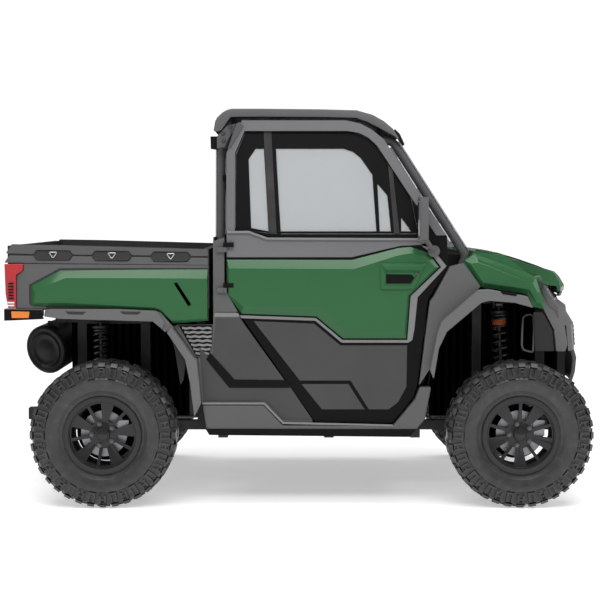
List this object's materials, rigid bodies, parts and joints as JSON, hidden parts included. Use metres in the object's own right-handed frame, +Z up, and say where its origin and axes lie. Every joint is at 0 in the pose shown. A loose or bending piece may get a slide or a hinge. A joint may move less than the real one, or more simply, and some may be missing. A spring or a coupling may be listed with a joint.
{
  "type": "side by side utility vehicle",
  "caption": "Closed-cab side by side utility vehicle with a bench seat, tilting cargo bed, drop tailgate, rear-hung doors, opening hood and steered front wheels.",
  "frame": {"origin": "on the ground under the middle of the vehicle, on its centre plane", "axes": "+X forward, +Y to the vehicle's left, +Z up"},
  "size_m": [3.04, 1.76, 2.028],
  "materials": {
    "frame_black": "satin",
    "cage_black": "satin",
    "body_green": "gloss metallic",
    "body_grey": "satin",
    "trim_grey": "matt",
    "dark_plastic": "textured",
    "window_glass": "clear",
    "seat_vinyl": "grained",
    "tyre_rubber": "matt",
    "rim_paint": "satin",
    "steel": "brushed",
    "cast_metal": "cast",
    "alloy": "cast",
    "spring_steel": "gloss",
    "lamp_red": "gloss",
    "lamp_clear": "gloss",
    "mirror_shell": "textured"
  },
  "bodies": {
    "chassis": {"chassis_frame": "frame_black", "roll_cage": "cage_black", "roof_panel": "trim_grey", "cab_glass": "window_glass", "cab_tub": "dark_plastic", "dashboard": "dark_plastic", "seat_cushion": "seat_vinyl", "seat_backrest": "seat_vinyl", "steering_column": "dark_plastic", "front_fenders": "body_green", "wheel_arch_flares": "trim_grey", "side_panels": "body_grey", "side_sills": "trim_grey", "front_fascia": "trim_grey", "headlamps": "lamp_clear", "radiator": "alloy", "engine": "cast_metal", "drive_line": "steel", "muffler": "steel", "suspension_arms": "frame_black", "shock_absorbers": "steel", "coil_springs": "spring_steel", "rear_knuckles": "cast_metal", "wheel_well_liners": "dark_plastic", "hitch_receiver": "frame_black"},
    "knuckle_front_left": {"front_knuckle_left": "cast_metal"},
    "knuckle_front_right": {"front_knuckle_right": "cast_metal"},
    "wheel_front_left": {"tyre_front_left": "tyre_rubber", "rim_front_left": "rim_paint"},
    "wheel_front_right": {"tyre_front_right": "tyre_rubber", "rim_front_right": "rim_paint"},
    "wheel_rear_left": {"tyre_rear_left": "tyre_rubber", "rim_rear_left": "rim_paint"},
    "wheel_rear_right": {"tyre_rear_right": "tyre_rubber", "rim_rear_right": "rim_paint"},
    "steering": {"steering_wheel": "dark_plastic"},
    "door_left": {"door_left": "body_green", "door_glass_left": "window_glass", "mirror_left": "mirror_shell"},
    "door_right": {"door_right": "body_green", "door_glass_right": "window_glass", "mirror_right": "mirror_shell"},
    "hood": {"hood_panel": "body_green"},
    "bed": {"cargo_bed": "trim_grey", "bed_side_panels": "body_green", "bed_trim": "trim_grey", "tail_lamps": "lamp_red"},
    "tailgate": {"tailgate": "trim_grey"}
  },
  "joints": [
    {"name": "steer_left", "type": "hinge", "parent": "chassis", "child": "knuckle_front_left", "pos_m": [1.118, 0.605, 0.372], "axis": [0, 0, 1], "range_deg": [-30, 30]},
    {"name": "steer_right", "type": "hinge", "parent": "chassis", "child": "knuckle_front_right", "pos_m": [1.118, -0.605, 0.372], "axis": [0, 0, 1], "range_deg": [-30, 30]},
    {"name": "steering_turn", "type": "hinge", "parent": "chassis", "child": "steering", "pos_m": [0.476, 0.35, 1.332], "axis": [-0.7431, 0, 0.6691], "range_deg": [-270, 270]},
    {"name": "spin_front_left", "type": "hinge", "parent": "knuckle_front_left", "child": "wheel_front_left", "pos_m": [1.118, 0.7, 0.372], "axis": [0, 1, 0], "continuous": true},
    {"name": "spin_front_right", "type": "hinge", "parent": "knuckle_front_right", "child": "wheel_front_right", "pos_m": [1.118, -0.7, 0.372], "axis": [0, 1, 0], "continuous": true},
    {"name": "spin_rear_left", "type": "hinge", "parent": "chassis", "child": "wheel_rear_left", "pos_m": [-1, 0.68, 0.372], "axis": [0, 1, 0], "continuous": true},
    {"name": "spin_rear_right", "type": "hinge", "parent": "chassis", "child": "wheel_rear_right", "pos_m": [-1, -0.68, 0.372], "axis": [0, 1, 0], "continuous": true},
    {"name": "door_left_swing", "type": "hinge", "parent": "chassis", "child": "door_left", "pos_m": [-0.38, 0.733, 1.232], "axis": [0, 0, 1], "range_deg": [0, 68]},
    {"name": "door_right_swing", "type": "hinge", "parent": "chassis", "child": "door_right", "pos_m": [-0.38, -0.733, 1.232], "axis": [0, 0, -1], "range_deg": [0, 68]},
    {"name": "hood_lift", "type": "hinge", "parent": "chassis", "child": "hood", "pos_m": [0.904, 0, 1.268], "axis": [0, -1, 0], "range_deg": [0, 45]},
    {"name": "bed_tilt", "type": "hinge", "parent": "chassis", "child": "bed", "pos_m": [-1.28, 0, 0.934], "axis": [0, -1, 0], "range_deg": [0, 38]},
    {"name": "tailgate_drop", "type": "hinge", "parent": "bed", "child": "tailgate", "pos_m": [-1.478, 0, 1.02], "axis": [0, -1, 0], "range_deg": [0, 90]}
  ],
  "couplings": [
    {"joint": "steer_right", "follows": "steer_left", "ratio": 1},
    {"joint": "steering_turn", "follows": "steer_left", "ratio": 9}
  ]
}
